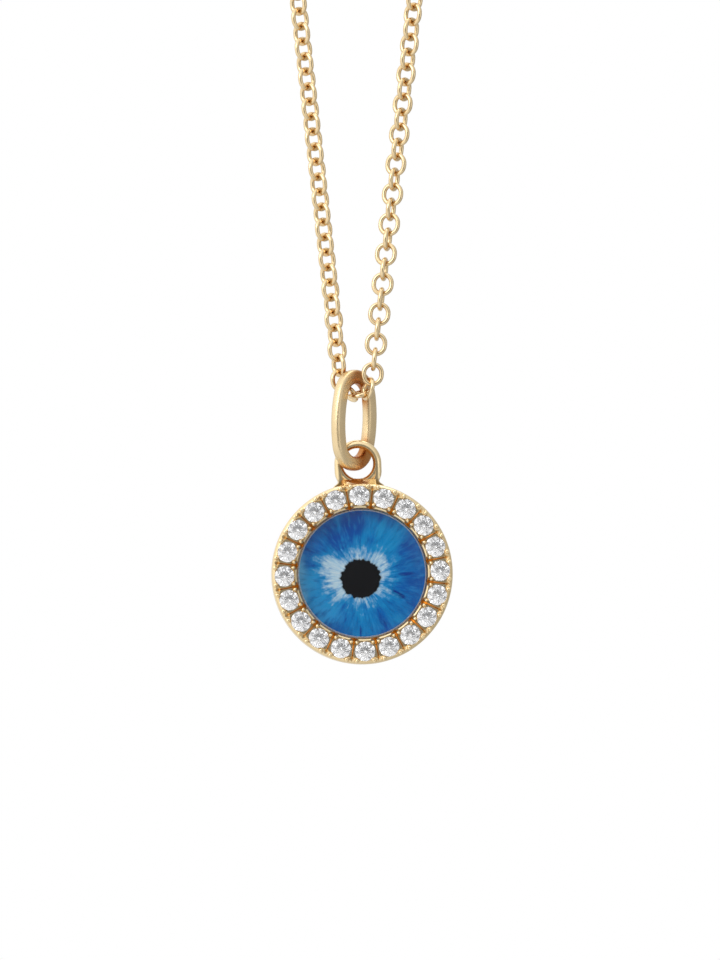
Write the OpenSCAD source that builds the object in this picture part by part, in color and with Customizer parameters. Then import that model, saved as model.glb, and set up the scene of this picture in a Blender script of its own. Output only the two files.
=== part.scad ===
// Evil eye pendant that hangs in an oval bail on a whole round cable chain.
// Millimetres, +Z up. The pendant's face looks towards -Y. The origin is the underside
// of the clasp, where the necklace hangs at the nape.

/* [Eye] */
// Diameter of the clear dome over the iris
eye_d = 7.12; // [6.6:0.01:7.6]
// Rise of the dome from its edge to its middle
eye_rise = 0.34; // [0.2:0.01:0.5]
// Thickness of the painted iris disc
iris_t = 0.16; // [0.1:0.01:0.25]
// How far the dome's edge lies below the halo's face
eye_drop = 0.26; // [0.15:0.01:0.4]

/* [Halo] */
// Depth of the halo from its face to its back
halo_t = 1.6; // [1.55:0.05:2]
// Width of metal between the dome and the stones
inner_land = 0.18; // [0.15:0.01:0.3]
// Width of metal outside the stones
outer_rim = 0.13; // [0.1:0.01:0.25]
// Depth of the groove cut in the rim between two stones
notch_depth = 0.32; // [0.2:0.01:0.4]
// Width of that groove at the rim
notch_w = 0.34; // [0.2:0.01:0.4]
// Diameter of the bead prongs
bead_d = 0.27; // [0.2:0.01:0.32]
// How far the beads stand above the halo's face
bead_rise = 0.13; // [0.08:0.01:0.2]
// Corner rounding of the halo's outer edges
halo_edge = 0.12; // [0.05:0.01:0.2]

/* [Stones] */
// Diameter of one round brilliant
stone_d = 1.15; // [1.05:0.01:1.2]
// Depth of a stone's girdle below the halo's face
stone_drop = 0.07; // [0.04:0.01:0.12]

/* [Loop] */
// Height of the hole's centre above the halo's top
loop_stand = 1.1; // [1:0.01:1.4]
// Thickness of the loop's wire between the hole and its outside
loop_wire = 0.46; // [0.4:0.01:0.55]
// Depth of the loop from front to back
loop_t = 0.55; // [0.45:0.01:0.6]
// Room round the bail in the loop's hole
loop_play = 0.155; // [0.15:0.005:0.3]
// How far the pendant's top leans to the left, in degrees
pendant_lean = 2.1; // [0:0.1:4]
// Width of the solder neck under the loop
neck_w = 2.42; // [2:0.01:2.6]

/* [Bail] */
// Thickness of the bail's wire, in the plane of the ring
bail_t = 0.74; // [0.6:0.01:0.76]
// Width of the bail's wire, across the ring
bail_w = 0.54; // [0.4:0.01:0.56]
// Corner rounding of the bail's wire
bail_edge = 0.16; // [0.1:0.01:0.2]
// Width of the bail's opening
bail_open_w = 1.98; // [1.9:0.01:2.2]
// Height of the bail's opening
bail_open_h = 4.1; // [3.8:0.01:4.6]
// Radius of the bowed sides, at the middle of the wire
bail_side_r = 6.2; // [5.5:0.1:8]
// Angle between the bail and the pendant's face
bail_turn = 50; // [48:1:60]
// How far the bail's top leans to the right in its own plane, in degrees
bail_lean = 3.5; // [0:0.5:4]

/* [Chain] */
// Length of the whole chain with its clasp
chain_len = 406; // [380:1:480]
// Outer diameter of one round link
link_d = 1.285; // [1.25:0.005:1.35]
// Diameter of a link's wire
link_wire = 0.15; // [0.12:0.005:0.155]
// Distance from one link to the next
link_pitch = 0.84; // [0.82:0.005:0.85]
// Lean of each strand from upright, in degrees
strand_lean = 6.42; // [5:0.01:8]
// Outer diameter of the ring clasp
clasp_d = 5; // [4:0.1:6]
// Diameter of the clasp's wire
clasp_wire = 1.1; // [0.8:0.1:1.4]
// Outer diameter of the small ring on either side of the clasp
clasp_eye_d = 1.8; // [1.6:0.1:2.2]

/* [Hidden] */
stone_count = 20;
function stone_name(i) = str("stone_", i < 9 ? "0" : "", i + 1);

$fn = 48;
gold = [0.86, 0.72, 0.47];
clear_white = [0.93, 0.95, 0.97];

// Fits between pieces
seat_gap = 0.02;
eye_gap = 0.03;
back_t = 0.4;

// Halo, measured outwards from the eye
eye_r = eye_d / 2;
cup_r = eye_r + eye_gap;
stone_r = stone_d / 2;
seat_r = stone_r + seat_gap;
ring_r = eye_r + inner_land + stone_r;
halo_r = ring_r + stone_r + outer_rim;
face_y = -halo_t / 2;
cup_y = halo_t / 2 - back_t;
stone_step = 360 / stone_count;

// Round brilliant, as shares of its diameter
table_share = 0.56;
crown_share = 0.15;
star_r_share = 0.4;
star_h_share = 0.6;
girdle_share = 0.03;
pavilion_share = 0.43;
lower_r_share = 0.2;
lower_h_share = 0.62;
girdle_y = face_y + stone_drop;

// The four beads of a stone, from its own centre: angle from the outward radius, and distance
bead_spots = [[45, 0.625], [-45, 0.625], [137, 0.615], [-137, 0.615]];

// The bail's wire crosses the loop's hole at a slant
slant = 90 - bail_turn;
cross_w = bail_w / 2 / cos(slant) + loop_t / 2 * tan(slant);
hole_r = norm([cross_w, bail_t / 2]) + loop_play;
loop_z = halo_r + loop_stand;
loop_edge = 0.19;

// The bail's outline is four arcs, at the middle of its wire
bail_hw = (bail_open_w + bail_t) / 2;
bail_hh = (bail_open_h + bail_t) / 2;
bail_end_r = (pow(bail_side_r - bail_hw, 2) + bail_hh * bail_hh - bail_side_r * bail_side_r)
    / (2 * bail_hh - 2 * bail_side_r);
bail_arc = atan2(bail_hh - bail_end_r, bail_side_r - bail_hw);
side_steps = 10;
end_steps = 18;
edge_steps = 3;

// The whole loop of chain: two leaning strands, and an arc of a circle over the nape
strand_gap = 0.911;
u_path = 1.7;
lean_rad = strand_lean * PI / 180;
strand_len = (chain_len / 2 - u_path - strand_gap / cos(strand_lean) * (PI / 2 + lean_rad))
    / (1 + tan(strand_lean) * (PI / 2 + lean_rad));
nape_r = (strand_gap + strand_len * sin(strand_lean)) / cos(strand_lean);
nape_z = clasp_d / 2 - nape_r;
strand_z = nape_z - nape_r * sin(strand_lean) - strand_len * cos(strand_lean);

// Links of each strand that the photograph shows. The chain is a little twisted: the turn of
// each strand's lowest link, and the turn that it settles at, a step more for each link
front_links = 27;
turn_step = 1.8;
right_turns = [0, -45];
left_turns = [29, 42];
// The strands pass the bail on either side of it, at these depths and heights, and come into
// one plane over this many links
depth_links = 14;
right_low = [-0.6, 0.1];
left_low = [0.41, -0.2];

// The three links between the strands, from the strands' foot: middle, length, and turn.
// The middle one lies nearly level under the bail
low_links = [
    [[0.65, -0.49, -0.7], [0.36, -0.44, 0.82], 115],
    [[0.18, -0.09, -0.99], [0.74, -0.67, 0.05], 105],
    [[-0.4, 0.51, -0.88], [-0.74, 0.36, 0.57], 112]];
foot_link = low_links[1][0];

// The bail hangs over the middle link, and the pendant's loop hangs in the bail
bail_x = -0.07;
bail_hang = 0.59;
bail_z = strand_z + foot_link[2] + bail_hang - bail_open_h / 2;
loop_x = bail_x + 0.214;
loop_hang = 0.5;
hole_z = bail_z - bail_open_h / 2 + loop_hang - hole_r;

link_r = (link_d - link_wire) / 2;

// The rest of the chain as one tube on each side, and its rings along a strand and the arc
tube_d = link_d * 0.96;
tube_gap = 0.12;
strand_rings = 10;
nape_rings = 22;
clasp_eye_wire = 0.5;
clasp_weld = 0.25;
clasp_eye_at = clasp_d / 2 + clasp_eye_d / 2 - clasp_weld;
clasp_eye_turn = asin(clasp_eye_at / nape_r);
clasp_reach = clasp_eye_turn + asin((clasp_eye_d / 2 + tube_gap) / nape_r);

function ease(t) = t >= 1 ? 0 : pow(1 - t, 2) * (1 + 2 * t);

// A point of a strand, side 1 on the right and -1 on the left, s above its lowest upright link
function strand_at(side, s) = let (low = side > 0 ? right_low : left_low, up = s + low[1]) [
    side * (strand_gap + up * sin(strand_lean)),
    low[0] * ease(s / (depth_links * link_pitch)),
    strand_z + up * cos(strand_lean)];

// The turn of a strand's link about its length
function strand_turn(side, i) = let (turns = side > 0 ? right_turns : left_turns,
        way = sign(turns[1] - turns[0]), most = abs(turns[1] - turns[0]))
    turns[0] + way * min(i * turn_step, most) + (i % 2 == 0 ? 0 : 90);

// The same along the arc, by the angle from the level of its centre
function nape_at(side, a) = [side * nape_r * cos(a), 0, nape_z + nape_r * sin(a)];

// A closed ring of wire in the XZ plane, from a section drawn at its middle radius
module ring(r, d) {
    rotate([90, 0, 0]) rotate_extrude() translate([r, 0]) circle(d = d, $fn = 20);
}

// A rectangle with true round corners, centred
module soft_rect(w, h, r) {
    square([w - 2 * r, h], center = true);
    square([w, h - 2 * r], center = true);
    for (x = [-1, 1], y = [-1, 1])
        translate([x * (w / 2 - r), y * (h / 2 - r)]) circle(r, $fn = 24);
}

module place_stone(i) {
    rotate([0, i * stone_step, 0]) translate([0, 0, ring_r]) children();
}

// Room for a stone, its table along +Z and its girdle at z = 0
module seat_tool() {
    crown_h = stone_d * crown_share;
    depth = stone_d * pavilion_share;
    girdle_h = stone_d * girdle_share / 2;
    rotate_extrude() polygon([
        [0, -depth - girdle_h - 2 * seat_gap],
        [seat_r, -girdle_h - seat_gap],
        [seat_r, girdle_h + seat_gap],
        [stone_r * table_share + seat_gap, crown_h + girdle_h + seat_gap],
        [stone_r * table_share + seat_gap, 1],
        [0, 1]]);
}

// A round-topped post that holds a stone's edge
module bead() {
    rotate_extrude() polygon([
        [0, -0.5],
        [bead_d / 2, -0.5],
        [bead_d / 2, bead_rise * 0.35],
        [bead_d * 0.38, bead_rise * 0.78],
        [bead_d * 0.2, bead_rise],
        [0, bead_rise]]);
}

module halo_body() {
    rotate([90, 0, 0]) rotate_extrude($fn = 120) polygon([
        [0, -halo_t / 2],
        [halo_r - halo_edge, -halo_t / 2],
        [halo_r, -halo_t / 2 + halo_edge],
        [halo_r, halo_t / 2 - halo_edge],
        [halo_r - halo_edge, halo_t / 2],
        [cup_r, halo_t / 2],
        [cup_r, -cup_y],
        [0, -cup_y]]);
}

module rim_notch() {
    translate([0, face_y + notch_depth, 0]) rotate([90, 0, 0]) linear_extrude(1) polygon([
        [0, halo_r - outer_rim - stone_r * 0.62],
        [notch_w / 2, halo_r + 0.1],
        [-notch_w / 2, halo_r + 0.1]]);
}

module inner_notch() {
    translate([0, face_y + notch_depth * 0.8, 0]) rotate([90, 0, 0]) linear_extrude(1) polygon([
        [0, ring_r - stone_r * 0.3],
        [0.11, cup_r - 0.05],
        [-0.11, cup_r - 0.05]]);
}

module hanging_loop() {
    translate([0, 0, loop_z]) difference() {
        union() {
            rotate([90, 0, 0]) rotate_extrude() translate([hole_r + loop_wire / 2, 0])
                soft_rect(loop_wire, loop_t, loop_edge);
            translate([0, loop_t / 2, 0]) rotate([90, 0, 0]) linear_extrude(loop_t) polygon([
                [-neck_w / 2, -loop_stand - 0.35],
                [neck_w / 2, -loop_stand - 0.35],
                [hole_r + loop_wire * 0.7, -hole_r * 0.62],
                [-hole_r - loop_wire * 0.7, -hole_r * 0.62]]);
        }
        rotate([90, 0, 0]) cylinder(r = hole_r, h = loop_t + 1, center = true);
    }
}

module setting() {
    color(gold) in_pendant() difference() {
        union() {
            halo_body();
            hanging_loop();
            for (i = [0 : stone_count - 1]) place_stone(i)
                for (spot = bead_spots)
                    translate([sin(spot[0]) * spot[1], face_y, cos(spot[0]) * spot[1]])
                        rotate([90, 0, 0]) bead();
        }
        for (i = [0 : stone_count - 1]) {
            place_stone(i) translate([0, girdle_y, 0]) rotate([90, 0, 0]) seat_tool();
            rotate([0, (i + 0.5) * stone_step, 0]) rim_notch();
            rotate([0, (i + 0.5) * stone_step, 0]) inner_notch();
        }
    }
}

module iris() {
    color("royalblue") in_pendant() translate([0, cup_y - seat_gap, 0]) rotate([90, 0, 0])
        cylinder(r = eye_r, h = iris_t);
}

module crystal() {
    base_y = cup_y - 2 * seat_gap - iris_t;
    edge_y = face_y + eye_drop;
    sphere_r = (eye_r * eye_r + eye_rise * eye_rise) / (2 * eye_rise);
    color(clear_white, 0.4) in_pendant() intersection() {
        translate([0, base_y, 0]) rotate([90, 0, 0])
            cylinder(r = eye_r, h = base_y - edge_y + eye_rise + 1, $fn = 120);
        translate([0, edge_y - eye_rise + sphere_r, 0]) rotate([90, 0, 0])
            sphere(sphere_r, $fn = 200);
    }
}

// Corner points of the brilliant's rings, n of them, the first at angle a
function facet_ring(r, z, n, a) = [for (k = [0 : n - 1]) [r * cos(a + k * 360 / n), r * sin(a + k * 360 / n), z]];

module brilliant(d) {
    g = d * girdle_share / 2;
    crown = d * crown_share;
    depth = d * pavilion_share;
    points = concat(
        facet_ring(d / 2 * table_share, g + crown, 8, 0),
        facet_ring(d * star_r_share, g + crown * (1 - star_h_share), 8, 22.5),
        facet_ring(d / 2, g, 16, 0),
        facet_ring(d / 2, -g, 16, 0),
        facet_ring(d * lower_r_share, -g - depth * lower_h_share, 8, 22.5),
        [[0, 0, -g - depth]]);
    table_p = 0;
    star_p = 8;
    top_p = 16;
    low_p = 32;
    pav_p = 48;
    culet_p = 56;
    faces = concat(
        [[for (k = [7 : -1 : 0]) table_p + k]],
        [for (k = [0 : 7]) [table_p + k, table_p + (k + 1) % 8, star_p + k]],
        [for (k = [0 : 7]) [table_p + k, star_p + k, top_p + 2 * k]],
        [for (k = [0 : 7]) [table_p + k, top_p + 2 * k, star_p + (k + 7) % 8]],
        [for (k = [0 : 7]) [star_p + k, top_p + 2 * k + 1, top_p + 2 * k]],
        [for (k = [0 : 7]) [star_p + k, top_p + (2 * k + 2) % 16, top_p + 2 * k + 1]],
        [for (k = [0 : 15]) [top_p + k, top_p + (k + 1) % 16, low_p + (k + 1) % 16, low_p + k]],
        [for (k = [0 : 7]) [pav_p + k, low_p + 2 * k, low_p + 2 * k + 1]],
        [for (k = [0 : 7]) [pav_p + k, low_p + 2 * k + 1, low_p + (2 * k + 2) % 16]],
        [for (k = [0 : 7]) [culet_p, low_p + 2 * k, pav_p + k]],
        [for (k = [0 : 7]) [culet_p, pav_p + (k + 7) % 8, low_p + 2 * k]]);
    polyhedron(points, faces);
}

module stone(i) {
    color(clear_white) in_pendant() place_stone(i) translate([0, girdle_y, 0])
        rotate([90, 0, 0]) rotate([0, 0, 90]) brilliant(stone_d);
}

// Puts the pendant, drawn round the middle of its eye, where the bail holds it
module in_pendant() {
    translate([loop_x, 0, hole_z]) rotate([0, -pendant_lean, 0]) translate([0, 0, -loop_z])
        children();
}

// Stations along one arc of the bail's outline: [x, z, outward angle]
function arc_stations(x, z, r, from, turn, steps) =
    [for (k = [0 : steps - 1]) let (a = from + turn * k / steps) [x + r * cos(a), z + r * sin(a), a]];

// Corner points of the bail's section, a rounded rectangle: [across the wire, along Y]
function wire_section() = [for (corner = [0 : 3], k = [0 : edge_steps])
    let (middle = corner * 90 + 45, a = corner * 90 + k * 90 / edge_steps) [
        sign(cos(middle)) * (bail_t / 2 - bail_edge) + bail_edge * cos(a),
        sign(sin(middle)) * (bail_w / 2 - bail_edge) + bail_edge * sin(a)]];

module bail() {
    end_z = bail_hh - bail_end_r;
    stations = concat(
        arc_stations(bail_hw - bail_side_r, 0, bail_side_r, -bail_arc, 2 * bail_arc, side_steps),
        arc_stations(0, end_z, bail_end_r, bail_arc, 180 - 2 * bail_arc, end_steps),
        arc_stations(bail_side_r - bail_hw, 0, bail_side_r, 180 - bail_arc, 2 * bail_arc, side_steps),
        arc_stations(0, -end_z, bail_end_r, 180 + bail_arc, 180 - 2 * bail_arc, end_steps));
    section = wire_section();
    n = len(stations);
    m = len(section);
    points = [for (at = stations, corner = section)
        [at[0] + corner[0] * cos(at[2]), corner[1], at[1] + corner[0] * sin(at[2])]];
    faces = [for (k = [0 : n - 1], j = [0 : m - 1])
        [k * m + j, (k + 1) % n * m + j, (k + 1) % n * m + (j + 1) % m, k * m + (j + 1) % m]];
    color(gold) translate([bail_x, 0, bail_z]) rotate([0, bail_lean, bail_turn])
        polyhedron(points, faces);
}

// One round link in its own place: at a point, its length along a direction, and its width
// turned by an angle about that direction, counted from the face-on way
module link(at, along, turn) {
    lean_y = atan2(along[0], along[2]);
    lean_x = -asin(along[1] / norm(along));
    translate(at) rotate([0, lean_y, 0]) rotate([lean_x, 0, 0]) rotate([0, 0, turn])
        ring(link_r, link_wire);
}

module strand_link(side, i) {
    s = i * link_pitch;
    step = 0.1;
    link(strand_at(side, s), strand_at(side, s + step) - strand_at(side, max(s - step, 0)),
        strand_turn(side, i));
}

module chain_front() {
    color(gold) {
        for (side = [-1, 1], i = [0 : front_links - 1]) strand_link(side, i);
        for (row = low_links) link(row[0] + [0, 0, strand_z], row[1], row[2]);
    }
}

// A tube swept through points, with flat ends: rings of corners in the plane across the path
module tube(path, d) {
    n = 8;
    rings = len(path);
    function way(k) = path[min(k + 1, rings - 1)] - path[max(k - 1, 0)];
    function corner(k, j) = let (w = way(k) / norm(way(k)), side = [w[2], 0, -w[0]])
        path[k] + d / 2 * (cos(j * 360 / n) * side + [0, sin(j * 360 / n), 0]);
    points = [for (k = [0 : rings - 1], j = [0 : n - 1]) corner(k, j)];
    walls = [for (k = [0 : rings - 2], j = [0 : n - 1])
        [k * n + j, (k + 1) * n + j, (k + 1) * n + (j + 1) % n, k * n + (j + 1) % n]];
    polyhedron(points, concat(
        [[for (j = [0 : n - 1]) j]],
        walls,
        [[for (j = [n - 1 : -1 : 0]) (rings - 1) * n + j]]));
}

module chain_back() {
    start = (front_links - 1) * link_pitch + link_d / 2 + tube_gap;
    stop = 90 - clasp_reach;
    color(gold) for (side = [-1, 1])
        tube(concat(
            [for (k = [0 : strand_rings - 1]) strand_at(side, start + (strand_len - start) * k / strand_rings)],
            [for (k = [0 : nape_rings]) nape_at(side, -strand_lean + (stop + strand_lean) * k / nape_rings)]),
            tube_d);
}

module clasp() {
    color(gold) {
        translate([0, 0, clasp_d / 2]) ring((clasp_d - clasp_wire) / 2, clasp_wire);
        for (side = [-1, 1])
            translate([0, 0, nape_z]) rotate([0, side * clasp_eye_turn, 0]) translate([0, 0, nape_r])
                ring((clasp_eye_d - clasp_eye_wire) / 2, clasp_eye_wire);
    }
}

setting();
iris();
crystal();
bail();
chain_front();
chain_back();
clasp();
for (i = [0 : stone_count - 1])
    stone(i);
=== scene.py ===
"""Looks of the evil eye pendant on its cable chain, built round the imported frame.

Lengths are in millimetres, and become metres where a mesh is placed. The pendant is drawn round
the middle of its eye, with its face towards -Y, and then placed where the frame holds it.
"""
import math

import bmesh
import bpy
from mathutils import Matrix, Vector


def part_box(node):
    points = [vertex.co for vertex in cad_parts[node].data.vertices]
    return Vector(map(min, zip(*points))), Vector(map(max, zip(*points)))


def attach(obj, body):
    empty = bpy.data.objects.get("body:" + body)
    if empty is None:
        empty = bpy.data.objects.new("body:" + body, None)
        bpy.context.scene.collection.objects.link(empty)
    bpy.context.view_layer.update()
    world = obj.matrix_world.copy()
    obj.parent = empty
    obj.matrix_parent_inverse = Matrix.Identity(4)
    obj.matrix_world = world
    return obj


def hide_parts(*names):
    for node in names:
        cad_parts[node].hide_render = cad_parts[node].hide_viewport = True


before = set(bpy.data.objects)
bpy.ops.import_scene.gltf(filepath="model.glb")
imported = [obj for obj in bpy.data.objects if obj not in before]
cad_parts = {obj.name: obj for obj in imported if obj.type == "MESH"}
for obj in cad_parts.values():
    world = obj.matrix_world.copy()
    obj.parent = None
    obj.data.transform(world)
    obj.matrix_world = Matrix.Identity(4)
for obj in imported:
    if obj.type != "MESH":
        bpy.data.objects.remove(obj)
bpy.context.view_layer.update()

MM = 0.001
METRES = Matrix.Scale(MM, 4)
TO_FRONT = Matrix.Rotation(math.radians(90), 4, "X")

# Photograph: its size, the scale at the eye, and the eye's middle
PHOTO_W, PHOTO_H = 720, 960
MM_PER_PIXEL = 0.0554
EYE_PIXEL = Vector((361.9, 573.8))

# Camera: a long lens a little below the eye and to its left
CAMERA_AZIMUTH = -2.0
CAMERA_ELEVATION = -2.0
CAMERA_DISTANCE = 600.0
CAMERA_CLIP = (0.01, 20.0)
SENSOR = 36.0

# Halo: its radius and the cup's, and depths from the front to the back
HALO_R = 5.02
CUP_R = 3.59
FACE_Y = -0.8
FIELD_Y = FACE_Y + 0.06
CUP_Y = 0.4
BACK_Y = 0.8
HALO_STEPS = 160

# Crystal and iris
EYE_R = 3.56
EYE_STEPS = 120
EDGE_Y = FACE_Y + 0.26
DOME_RISE = 0.34
DOME_BEVEL = 0.07
DOME_STEPS = 24
CRYSTAL_BACK_Y = CUP_Y - 0.2
CRYSTAL_CHAMFER = 0.04
IRIS_R = EYE_R - 0.02
IRIS_T = 0.19
IRIS_BOND = 0.01
PUPIL_AT = Vector((-0.09, 0, -0.27))

# Stones and their seats: the wall, the lip that is pushed over the stone, and the countersink
STONES = 20
STONE_STEP = math.radians(360 / STONES)
RING_R = 4.315
SEAT_R = 0.595
SEAT_LIP_R = 0.545
SEAT_SINK_R = 0.61
SEAT_STEPS = 32

# Hanging loop
LOOP_Z = HALO_R + 1.1
HOLE_R = 0.845
LOOP_WIRE = 0.46
LOOP_T = 0.55
LOOP_STEPS = 72

# Bail: its wire's thickness, width and rounding, half its width and height, and how it hangs
BAIL_T = 0.78
BAIL_W = 0.58
BAIL_EDGE = 0.19
BAIL_HW = 1.37
BAIL_HH = 2.42
BAIL_SIDE_R = 6.2
BAIL_TURN = math.radians(49)
BAIL_LEAN = math.radians(3.5)
BAIL_SIDE_STEPS = 16
BAIL_END_STEPS = 30

# Chain
CHAIN_LEN = 406.0
LINK_W = 1.25
LINK_L = 1.36
LINK_WIRE = 0.26
LINK_PITCH = 0.84
STRAND_LEAN = math.radians(6.42)
STRAND_GAP = 0.88
# Half of the path through the bail, and the clasp: its width, where its eyes stand and the room
# that an eye takes
U_PATH = 1.7
CLASP_D = 5.0
CLASP_EYE_AT = 3.15
CLASP_EYE_ROOM = 0.8
# Links that the photograph shows on each side, and how fine a link is made there and behind:
# steps of a half turn, and sides of the wire
FRONT_LINKS = 30
FRONT_FINENESS = (14, 12)
BACK_FINENESS = (5, 5)
# Degrees by which each link turns on from the last, and the turns of the first and later links
TURN_STEP = 1.8
RIGHT_TURNS = (0, -45)
LEFT_TURNS = (29, 42)
# Each strand's foot lies off the middle plane and off its height, by a depth that fades out over
# so many links and a lift that fades out over the whole strand
DEPTH_LINKS = 14
RIGHT_LOW = (-0.6, 0.1)
LEFT_LOW = (0.41, -0.2)
# The real links rest a little further right in the bail than the solids' thin ones
CHAIN_SHIFT = Matrix.Translation(Vector((0.05, 0, 0)) * MM)
# The three links in the bail, from the strands' foot: middle, direction and turn
LOW_LINKS = (
    ((0.65, -0.49, -0.7), (0.36, -0.44, 0.82), 115),
    ((0.18, -0.09, -0.99), (0.74, -0.67, 0.05), 105),
    ((-0.4, 0.51, -0.88), (-0.74, 0.36, 0.57), 112),
)
# Half of the chain's path: a straight strand from its foot, then an arc to the clasp, with a
# radius that the chain's length gives
NAPE_ARC = math.pi / 2 + STRAND_LEAN
STRAND_LEN = ((CHAIN_LEN / 2 - U_PATH - STRAND_GAP / math.cos(STRAND_LEAN) * NAPE_ARC)
              / (1 + math.tan(STRAND_LEAN) * NAPE_ARC))
NAPE_R = (STRAND_GAP + STRAND_LEN * math.sin(STRAND_LEAN)) / math.cos(STRAND_LEAN)
NAPE_Z = CLASP_D / 2 - NAPE_R
STRAND_Z = NAPE_Z - NAPE_R * math.sin(STRAND_LEAN) - STRAND_LEN * math.cos(STRAND_LEAN)


def centre_of(node):
    low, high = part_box(node)
    return (low + high) / 2


# The pendant's place: its eye's middle, and a lean that puts the first stone at the top
eye_at = centre_of("iris")
eye_at.y = 0
top_stone = centre_of("stone_01") - eye_at
top_stone.y = 0
lean = math.atan2(top_stone.x, top_stone.z)
PENDANT = Matrix.Translation(eye_at) @ Matrix.Rotation(lean, 4, "Y")
BAIL = (Matrix.Translation(centre_of("bail")) @ Matrix.Rotation(BAIL_TURN, 4, "Z")
        @ Matrix.Rotation(BAIL_LEAN, 4, "Y"))


# Nodes and colours

def colour(hex_code):
    """An sRGB hex value as linear red, green, blue and alpha."""
    parts = [int(hex_code[i:i + 2], 16) / 255 for i in (1, 3, 5)]
    return (*[p / 12.92 if p <= 0.04045 else ((p + 0.055) / 1.055) ** 2.4 for p in parts], 1.0)


def add(tree, kind, inputs=None, **settings):
    """Adds a node, sets its properties, and fills its inputs with values or links."""
    node = tree.nodes.new(kind)
    for name, value in settings.items():
        setattr(node, name, value)
    for name, value in (inputs or {}).items():
        if isinstance(value, bpy.types.NodeSocket):
            tree.links.new(value, node.inputs[name])
        else:
            node.inputs[name].default_value = value
    return node


def new_material(name):
    material = bpy.data.materials.new(name)
    material.use_nodes = True
    tree = material.node_tree
    tree.nodes.clear()
    return material, tree


def finish_material(tree, shader):
    add(tree, "ShaderNodeOutputMaterial", {"Surface": shader})


def object_mm(tree, centre=(0, 0, 0), turn=0.0):
    """Object coordinates in millimetres, from a point of the object and turned about Y."""
    coords = add(tree, "ShaderNodeTexCoord").outputs["Object"]
    return add(tree, "ShaderNodeMapping", {
        "Vector": coords, "Location": centre, "Rotation": (0, turn, 0), "Scale": (MM, MM, MM)},
        vector_type="TEXTURE").outputs["Vector"]


# Metal, glass and stone

# The gold's tone drifts in clouds about 1.1 mm across, and its grain stands 0.02 mm high
TONE_PER_MM = 0.9
GRAIN_HEIGHT_MM = 0.02
SMOOTHEST = 0.03
# Share of open sky at which the painted shade in the hollows starts, and at which it is full
OPEN_SKY, CLOSED_SKY = 0.93, 0.55
CRYSTAL_IOR = 1.5
GRIT_MM = 0.06
DIAMOND_IOR = 2.417
DIAMOND_TINT_MM = 0.5
# Share of plain white diffuse painted in as the diamonds' glints, a painted highlight
PAINTED_GLINT_SHARE = 0.05


def gold(name, base, shade, rough, grain, grain_mm, bump, stretch=(1, 1, 1), painted_hollow_shade=0.0,
         painted_shade_mm=0.4, painted_shade_tone="#D0A058"):
    """14 karat yellow gold: a pale warm metal. Where asked, a painted shade and painted reflection
    turns it orange-brown in the hollows, by how little open sky a point sees. Polishing leaves the
    grain faint, and brushing leaves it long."""
    material, tree = new_material(name)
    at = object_mm(tree)
    long = add(tree, "ShaderNodeVectorMath", {0: at, 1: stretch}, operation="MULTIPLY").outputs[0]
    fine = add(tree, "ShaderNodeTexNoise", {
        "Vector": long, "Scale": 1 / grain_mm, "Detail": 3.0, "Roughness": 0.6}).outputs["Fac"]
    wide = add(tree, "ShaderNodeTexNoise", {
        "Vector": at, "Scale": TONE_PER_MM, "Detail": 2.0}).outputs["Fac"]
    tone = add(tree, "ShaderNodeMix", {
        0: wide, 6: colour(base), 7: colour(shade)}, data_type="RGBA").outputs[2]
    # Painted shade and painted reflection: the tone turns to an orange-brown where a point sees
    # little open sky
    if painted_hollow_shade:
        sky = add(tree, "ShaderNodeAmbientOcclusion", {
            "Distance": painted_shade_mm * MM}, samples=16).outputs["AO"]
        painted_shade_amount = add(tree, "ShaderNodeMapRange", {
            "Value": sky, "From Min": OPEN_SKY, "From Max": CLOSED_SKY,
            "To Max": painted_hollow_shade}).outputs["Result"]
        tone = add(tree, "ShaderNodeMix", {
            0: painted_shade_amount, 6: tone, 7: colour(painted_shade_tone)}, data_type="RGBA").outputs[2]
    sheen = add(tree, "ShaderNodeMapRange", {
        "Value": fine, "From Min": 0.3, "From Max": 0.7,
        "To Min": max(rough - grain, SMOOTHEST), "To Max": rough + grain}).outputs["Result"]
    relief = add(tree, "ShaderNodeBump", {
        "Height": fine, "Strength": bump, "Distance": GRAIN_HEIGHT_MM * MM}).outputs["Normal"]
    shader = add(tree, "ShaderNodeBsdfPrincipled", {
        "Base Color": tone, "Metallic": 1.0, "Roughness": sheen, "Normal": relief})
    finish_material(tree, shader.outputs["BSDF"])
    return material


def crystal_glass():
    """Clear mineral crystal, ground and polished: it reflects sharply and bends what is behind."""
    material, tree = new_material("polished_mineral_crystal")
    glass = add(tree, "ShaderNodeBsdfPrincipled", {
        "Base Color": colour("#FAFDFF"), "Roughness": 0.0, "IOR": CRYSTAL_IOR,
        "Transmission Weight": 1.0})
    open_way = add(tree, "ShaderNodeBsdfTransparent", {"Color": colour("#F4F8FA")})
    rays = add(tree, "ShaderNodeLightPath")
    mix = add(tree, "ShaderNodeMixShader", {
        0: rays.outputs["Is Shadow Ray"], 1: glass.outputs["BSDF"], 2: open_way.outputs["BSDF"]})
    finish_material(tree, mix.outputs["Shader"])
    return material


def ground_edge():
    """The crystal's edge as the lap leaves it: fine ground, so it scatters light and looks pale."""
    material, tree = new_material("ground_crystal_edge")
    grit = add(tree, "ShaderNodeTexNoise", {
        "Vector": object_mm(tree), "Scale": 1 / GRIT_MM, "Detail": 2.0}).outputs["Fac"]
    rough = add(tree, "ShaderNodeMapRange", {
        "Value": grit, "From Min": 0.3, "From Max": 0.7,
        "To Min": 0.15, "To Max": 0.4}).outputs["Result"]
    shader = add(tree, "ShaderNodeBsdfPrincipled", {
        "Base Color": colour("#C4D2E0"), "Roughness": rough, "IOR": CRYSTAL_IOR,
        "Transmission Weight": 0.35})
    finish_material(tree, shader.outputs["BSDF"])
    return material


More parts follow.
